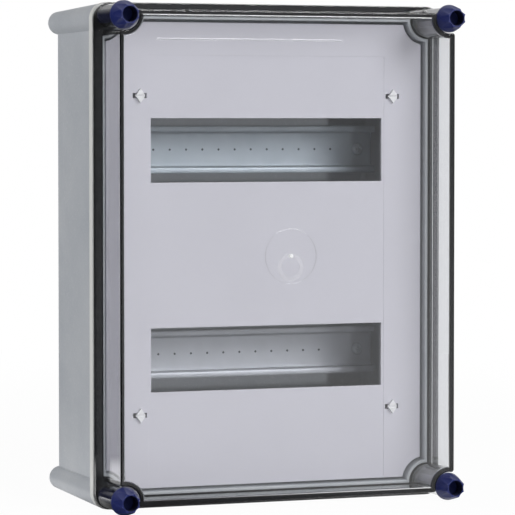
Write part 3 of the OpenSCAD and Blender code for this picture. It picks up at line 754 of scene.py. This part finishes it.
flange_top = COVER_FOOT + FLANGE_T
levels = [(hood_outline, *step) for step in reversed(rounded_front(COVER_T, COVER_DEPTH - COVER_T))]
levels.append((hood_outline, COVER_T, COVER_FOOT))
levels.append((flange_outline, 0, COVER_FOOT))
for a in spread(0, math.pi / 2, EDGE_STEPS):
    levels.append((flange_outline, FLANGE_EDGE_R * (1 - math.cos(a)),
                   flange_top - FLANGE_EDGE_R * (1 - math.sin(a))))
for a in spread(math.pi / 2, 0, EDGE_STEPS):
    levels.append((hood_outline, FLANGE_T * DRAFT - FILLET_R * (1 - math.cos(a)),
                   flange_top + FILLET_R * (1 - math.sin(a))))
levels += [(hood_outline, *step) for step in rounded_front(0, COVER_DEPTH)]

shape = bmesh.new()
join_rings(shape, [[at(x, y, out) for x, y in outline(inset)] for outline, inset, out in levels])
cover_shell = shape_object("cover_shell", shape)
print("faces in the shell:", len(cover_shell.data.polygons))

# %% [markdown]
# ## Tubes and bores of the cover
# A clear tube guides each screw, with a small fillet at its foot and a rounded seat. Tubes and bores are
# simple turned shapes, so they are made apart from the shell.

# %% Tubes and bores of the cover
TUBE_R = 8.2
TUBE_FOOT_R = 0.4
SEAT = 145
SEAT_EDGE_R = 0.5
BORE_R = 5.2
SUNK = 1.5

tube = [(TUBE_R + TUBE_FOOT_R, flange_top - SUNK), (TUBE_R + TUBE_FOOT_R, flange_top)]
tube += [(TUBE_R + TUBE_FOOT_R * (1 - math.sin(a)), flange_top + TUBE_FOOT_R * (1 - math.cos(a)))
         for a in spread(0, math.pi / 2, EDGE_STEPS)][1:]
tube += [(TUBE_R - SEAT_EDGE_R * (1 - math.cos(a)), SEAT - SEAT_EDGE_R * (1 - math.sin(a)))
         for a in spread(0, math.pi / 2, EDGE_STEPS)]
bore = [(BORE_R, COVER_FOOT - SUNK), (BORE_R, COVER_FRONT)]
shape, cuts = bmesh.new(), bmesh.new()
for sx, sy in CORNERS.values():
    join_rings(shape, turned_rings(tube, sx * SCREW_X, sy * SCREW_Y))
    join_rings(cuts, turned_rings(bore, sx * SCREW_X, sy * SCREW_Y))
tubes = shape_object("cover_tubes", shape)
print("faces in the tubes:", len(tubes.data.polygons))

# %% [markdown]
# ## Mould marks of the cover
# The mould leaves marks on the front: at the gate, where the plastic came in, a torn stub, a raised ring
# and a shallow dish, and near the top a long raised rule. The dish is one more cut, and the others are
# turned or swept. A raised mark has a round back, so its section is half an oval that starts below the
# surface.

# %% Mould marks of the cover
MARK_H = 0.3
GATE_RING_R = 20
GATE_RING_W = 0.8
GATE_STUB_H = 0.8
GATE_STUB_TIP_R = 0.7 * GATE_STUB_R
DISH_R = 8.5
RULE_LEFT = -102
RULE_LEN = 142
RULE_W = 1.6
RULE_DROP = 16.6
RULE_UP = SCREW_Y - RULE_DROP

bowl_r = (DISH_R ** 2 + MARK_H ** 2) / (2 * MARK_H)
rim_angle = math.asin(DISH_R / bowl_r)
bowl = [(bowl_r * math.sin(a), COVER_FRONT - MARK_H + bowl_r * (1 - math.cos(a)))
        for a in spread(rim_angle / EDGE_STEPS, rim_angle, EDGE_STEPS)]
join_rings(cuts, turned_rings(bowl + [(DISH_R, COVER_FRONT + SUNK)], 0, -DISH_DROP))
bores = shape_object("cover_bores", cuts)

oval = [(math.cos(a), MARK_H * math.sin(a)) for a in spread(0, math.pi, EDGE_STEPS)]
shape = bmesh.new()
section = [(c * RULE_W / 2, COVER_FRONT + h) for c, h in oval]
section = [(RULE_W / 2, COVER_FRONT - SUNK)] + section + [(-RULE_W / 2, COVER_FRONT - SUNK)]
join_rings(shape, [[at(x, RULE_UP + c, out) for c, out in section]
                   for x in (RULE_LEFT, RULE_LEFT + RULE_LEN)])
ring = [(GATE_RING_R - GATE_RING_W / 2 + c * GATE_RING_W / 2, COVER_FRONT + h) for c, h in oval]
ring = [(GATE_RING_R, COVER_FRONT - SUNK)] + ring + [(GATE_RING_R - GATE_RING_W, COVER_FRONT - SUNK)]
join_rings(shape, turned_rings(ring, 0, 0), closed=True)
stub = [(GATE_STUB_R, COVER_FRONT - SUNK), (GATE_STUB_R, COVER_FRONT + GATE_STUB_H / 2),
        (GATE_STUB_TIP_R, COVER_FRONT + GATE_STUB_H)]
join_rings(shape, turned_rings(stub, 0, 0))
marks = shape_object("cover_marks", shape)
print("faces in the marks:", len(marks.data.polygons))

# %% [markdown]
# ## The finished cover
# Booleans join the tubes and the marks to the shell and cut the bores and the dish. `plain` keeps what
# such steps make as an ordinary mesh, with the object at the origin, as the solids are. Smooth shading
# suits the rounded edges, and weighted normals keep the broad faces flat right up to them. The finished
# piece takes the place of the cover's solid and rides with the cover when it lifts.

# %% Finished cover
SMOOTH_UNDER = math.radians(40)


def combine(target, operand, operation):
    step = target.modifiers.new(operand.name, "BOOLEAN")
    step.solver = "EXACT"
    step.operation = operation
    step.object = operand
    operand.hide_render = True


def plain(name, source, *used):
    """Keeps the source as modifiers leave it, and removes the source and what was used to make it."""
    bpy.context.view_layer.update()
    seen = source.evaluated_get(bpy.context.evaluated_depsgraph_get())
    piece = link(name, bpy.data.meshes.new_from_object(seen))
    for leftover in (source, *used):
        bpy.data.objects.remove(leftover)
    return piece


combine(cover_shell, tubes, "UNION")
combine(cover_shell, bores, "DIFFERENCE")
combine(cover_shell, marks, "UNION")
rough_cover = plain("rough_cover", cover_shell, tubes, bores, marks)
rough_cover.data.shade_smooth()
rough_cover.data.set_sharp_from_angle(angle=SMOOTH_UNDER)
flat_faces = rough_cover.modifiers.new("flat_faces", "WEIGHTED_NORMAL")
flat_faces.keep_sharp = True
clear_cover = plain("clear_cover", rough_cover)
clear_cover.data.materials.clear()
clear_cover.data.materials.append(clear_polycarbonate)
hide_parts("cover")
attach(clear_cover, "cover")
print("faces in the cover:", len(clear_cover.data.polygons))

# %% [markdown]
# ## Helpers for Geometry Nodes
# Geometry Nodes suit what repeats or follows a path. `new_tree` starts a tree with named inputs for its
# sizes, `end_tree` ends it, and `grow` runs it and keeps the result.

# %% Helpers for Geometry Nodes
def new_tree(name, inputs):
    """An empty Geometry Nodes tree with named inputs and one geometry output."""
    tree = bpy.data.node_groups.new(name, "GeometryNodeTree")
    sockets = {}
    for label, kind in inputs.items():
        sockets[label] = tree.interface.new_socket(name=label, in_out="INPUT", socket_type=kind)
    tree.interface.new_socket(name="Geometry", in_out="OUTPUT", socket_type="NodeSocketGeometry")
    return tree, add(tree, "NodeGroupInput").outputs, sockets


def end_tree(tree, shape, finish):
    """Makes instances real, gives them their finish and hands them to the output."""
    real = add(tree, "GeometryNodeRealizeInstances", {"Geometry": shape})
    painted = add(tree, "GeometryNodeSetMaterial", {"Geometry": real, "Material": finish})
    add(tree, "NodeGroupOutput", {"Geometry": painted})


def grow(name, tree, sockets, values):
    """Runs a tree with these values for its inputs and keeps the result as a plain mesh."""
    source = link(name + "_source", bpy.data.meshes.new(name + "_source"))
    step = source.modifiers.new("nodes", "NODES")
    step.node_group = tree
    for label, value in values.items():
        step[sockets[label].identifier] = value
    return plain(name, source)


print("helpers for Geometry Nodes are ready")

# %% [markdown]
# ## Painted shade: the punch marks on the rails
# Each punch mark is a small pit, and its shade is painted: a dull, dark colour beside the zinc.

# %% Painted shade of the punch marks
punch_mark_shade, tree, place = new_finish("punch_marks_painted_shade")
burr = add(tree, "ShaderNodeTexNoise", {"Vector": place, "Scale": per_mm(0.6), "Detail": 1.0})
# Painted shade: the marks are painted dark for the shade in each small pit.
colour = add(tree, "ShaderNodeMix", {
    "Factor": burr, 6: chart("#3c4247"), 7: chart("#5e666d")}, data_type="RGBA")
body = add(tree, "ShaderNodeBsdfPrincipled", {
    "Base Color": colour.outputs[2], "Metallic": 0.6, "Roughness": 0.6})
add(tree, "ShaderNodeOutputMaterial", {"Surface": body})
print("made", punch_mark_shade.name)

# %% [markdown]
# ## Punch marks on the rails
# A row of small round marks runs along the middle of each rail, for measuring and drilling. They
# repeat at one pitch, so Geometry Nodes lay out the two rows: a line of points for each rail, and one
# shallow cup on every point. The second row starts further left, because the rails were cut that way.

# %% Punch marks on the rails
MARK_COUNT = 12
MARK_PITCH = 12.8
MARK_R = 0.85
MARK_DEPTH = 0.06
MARK_STEPS = 16
MARK_FLOOR_SHARE = 0.6
ROW_UP = 75
RAIL_WEB = 49
UPPER_LEFT = -67.6
LOWER_LEFT = -76.7
FIRST_MARKS = {
    "Upper start": at(UPPER_LEFT, ROW_UP, RAIL_WEB),
    "Lower start": at(LOWER_LEFT, -ROW_UP, RAIL_WEB),
}

tree, given, sockets = new_tree("punch_mark_rows", {
    "Upper start": "NodeSocketVector", "Lower start": "NodeSocketVector", "Pitch": "NodeSocketVector",
    "Count": "NodeSocketInt", "Radius": "NodeSocketFloat", "Depth": "NodeSocketFloat",
    "Finish": "NodeSocketMaterial"})
rows = add(tree, "GeometryNodeJoinGeometry")
for start in FIRST_MARKS:
    row = add(tree, "GeometryNodeMeshLine", {
        "Count": given["Count"], "Start Location": given[start], "Offset": given["Pitch"]})
    tree.links.new(row.outputs["Mesh"], rows.inputs[0])
inner = add(tree, "ShaderNodeMath", {0: given["Radius"], 1: MARK_FLOOR_SHARE}, operation="MULTIPLY")
cup = add(tree, "GeometryNodeMeshCone", {
    "Vertices": MARK_STEPS, "Radius Top": inner, "Radius Bottom": given["Radius"], "Depth": given["Depth"]})
facing = add(tree, "GeometryNodeTransform", {"Geometry": cup, "Rotation": (math.pi / 2, 0, 0)})
dots = add(tree, "GeometryNodeInstanceOnPoints", {"Points": rows, "Instance": facing})
end_tree(tree, dots, given["Finish"])

rail_marks = grow("rail_marks", tree, sockets, {
    **FIRST_MARKS, "Pitch": (MARK_PITCH * MM, 0, 0), "Count": MARK_COUNT, "Radius": MARK_R * MM,
    "Depth": MARK_DEPTH * MM, "Finish": punch_mark_shade})
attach(rail_marks, "base")
print("faces in the punch marks:", len(rail_marks.data.polygons))

# %% [markdown]
# ## Rail screws
# Each rail is held by two pan-head screws with a cross recess. One screw is turned from a profile, from
# its tip up to the flat of its domed head.

# %% Blank of a rail screw
HEAD_R = 4.4
HEAD_T = 2.6
HEAD_FLAT_R = 1.6
HEAD_UNDERCUT = 0.2
HEAD_EDGE_H = 0.3
THREAD_R = 1.95
TIP_R = 0.4 * THREAD_R
TIP_LEN = 1.5
SCREW_LEN = 12

tip = RAIL_WEB - SCREW_LEN
dome = RAIL_WEB + HEAD_EDGE_H
dome_r = HEAD_R - HEAD_FLAT_R
dome_h = HEAD_T - HEAD_EDGE_H
profile = [(TIP_R, tip), (THREAD_R, tip + TIP_LEN), (THREAD_R, RAIL_WEB)]
profile += [(HEAD_R - HEAD_UNDERCUT, RAIL_WEB), (HEAD_R, dome)]
profile += [(HEAD_FLAT_R + dome_r * math.cos(a), dome + dome_h * math.sin(a))
            for a in spread(0, math.pi / 2, EDGE_STEPS)][1:]
shape = bmesh.new()
join_rings(shape, turned_rings(profile, 0, 0))
screw_blank = shape_object("screw_blank", shape)
print("faces in the blank:", len(screw_blank.data.polygons))

# %% [markdown]
# ## Cross recess of a rail screw
# A boolean cuts the cross, which narrows as it goes down, so its two ends are the same outline at two
# sizes.

# %% Cross recess of a rail screw
CROSS_LEN = 4.6
CROSS_W = 1.0
CROSS_DEPTH = 1.5
CROSS_CLEAR = 1
CROSS_TAPER = {"bottom": 0.6, "above": 1.15}


def cross_outline(taper):
    """Twelve points of a cross, drawn for one arm and turned for the other three."""
    end, side = CROSS_LEN * taper / 2, CROSS_W * taper / 2
    points = []
    for turn in range(4):
        c, s = math.cos(turn * math.pi / 2), math.sin(turn * math.pi / 2)
        points += [(x * c - y * s, x * s + y * c) for x, y in ((side, -side), (end, -side), (end, side))]
    return points


shape = bmesh.new()
top = RAIL_WEB + HEAD_T
cross_ends = ((CROSS_TAPER["bottom"], top - CROSS_DEPTH), (CROSS_TAPER["above"], top + CROSS_CLEAR))
join_rings(shape, [[at(x, y, out) for x, y in cross_outline(taper)] for taper, out in cross_ends])
cross = shape_object("screw_cross", shape)
combine(screw_blank, cross, "DIFFERENCE")
rail_screw = plain("rail_screw_pattern", screw_blank, cross)
rail_screw.data.shade_smooth()
rail_screw.data.set_sharp_from_angle(angle=SMOOTH_UNDER)
print("faces in one rail screw:", len(rail_screw.data.polygons))

# %% [markdown]
# ## Four rail screws
# The four screws stand at the corners of a rectangle, so Geometry Nodes make a grid of two by two points
# and put a copy of the pattern on each. Made real, the copies are one mesh, which takes the place of the
# four plain solids.

# %% Four rail screws
RAIL_SCREW_X = 95

tree, given, sockets = new_tree("rail_screw_grid", {
    "Screw": "NodeSocketObject", "Across": "NodeSocketFloat", "Up": "NodeSocketFloat",
    "Finish": "NodeSocketMaterial"})
grid = add(tree, "GeometryNodeMeshGrid", {
    "Size X": given["Across"], "Size Y": given["Up"], "Vertices X": 2, "Vertices Y": 2})
upright = add(tree, "GeometryNodeTransform", {"Geometry": grid, "Rotation": (math.pi / 2, 0, 0)})
pattern = add(tree, "GeometryNodeObjectInfo", {"Object": given["Screw"]})
placed = add(tree, "GeometryNodeInstanceOnPoints", {
    "Points": upright, "Instance": pattern.outputs["Geometry"]})
end_tree(tree, placed, given["Finish"])

rail_screws = grow("rail_screws", tree, sockets, {
    "Screw": rail_screw, "Across": 2 * RAIL_SCREW_X * MM, "Up": 2 * ROW_UP * MM, "Finish": turned_zinc})
bpy.data.objects.remove(rail_screw)
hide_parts(*["rail_screw_" + corner for corner in CORNERS])
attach(rail_screws, "base")
print("faces in the rail screws:", len(rail_screws.data.polygons))

# %% [markdown]
# ## Threads of the cover screws
# The steel stud in each cover screw has a 6 mm thread with a pitch of 1 mm. A thread is a ridge that
# follows a spiral, so Geometry Nodes sweep a small pointed section along a spiral curve and join it to
# a plain core.

# %% Threads of the cover screws
THREAD_STEPS = 24
STUD_STEPS = 32

tree, given, sockets = new_tree("threaded_stud", {
    "Place": "NodeSocketVector", "Radius": "NodeSocketFloat", "Length": "NodeSocketFloat",
    "Thread length": "NodeSocketFloat", "Turns": "NodeSocketFloat", "Ridge": "NodeSocketFloat",
    "Finish": "NodeSocketMaterial"})
core_r = add(tree, "ShaderNodeMath", {0: given["Radius"], 1: given["Ridge"]}, operation="SUBTRACT")
spiral = add(tree, "GeometryNodeCurveSpiral", {
    "Resolution": THREAD_STEPS, "Rotations": given["Turns"], "Start Radius": core_r,
    "End Radius": core_r, "Height": given["Thread length"]})
point = add(tree, "GeometryNodeCurvePrimitiveCircle", {"Resolution": 4, "Radius": given["Ridge"]})
ridge = add(tree, "GeometryNodeCurveToMesh", {"Curve": spiral, "Profile Curve": point, "Fill Caps": True})
core = add(tree, "GeometryNodeMeshCylinder", {
    "Vertices": STUD_STEPS, "Radius": core_r, "Depth": given["Length"]})
half = add(tree, "ShaderNodeMath", {0: given["Length"], 1: 0.5}, operation="MULTIPLY")
rise = add(tree, "ShaderNodeCombineXYZ", {"Z": half})
raised = add(tree, "GeometryNodeTransform", {"Geometry": core, "Translation": rise})
stud = add(tree, "GeometryNodeJoinGeometry", {0: ridge})
tree.links.new(raised.outputs[0], stud.inputs[0])
standing = add(tree, "GeometryNodeTransform", {
    "Geometry": stud, "Rotation": (math.pi / 2, 0, 0), "Translation": given["Place"]})
end_tree(tree, standing, given["Finish"])
print("inputs of a threaded stud:", list(sockets))

# %% [markdown]
# ## Four threaded studs
# The same tree runs once for each screw, because each screw turns by itself.

# %% Four threaded studs
STUD_R = 3
STUD_FOOT = 91
STUD_TOP = 123.3
THREAD_TOP = 109
THREAD_PITCH = 1.0
THREAD_H = 0.45

for corner, (sx, sy) in CORNERS.items():
    thread_len = THREAD_TOP - STUD_FOOT
    stud = grow("threaded_stud_" + corner, tree, sockets, {
        "Place": at(sx * SCREW_X, sy * SCREW_Y, STUD_FOOT), "Radius": STUD_R * MM,
        "Length": (STUD_TOP - STUD_FOOT) * MM, "Thread length": thread_len * MM,
        "Turns": thread_len / THREAD_PITCH, "Ridge": THREAD_H * MM, "Finish": turned_zinc})
    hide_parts("screw_stud_" + corner)
    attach(stud, "screw_" + corner)
    print(stud.name, "faces:", len(stud.data.polygons))
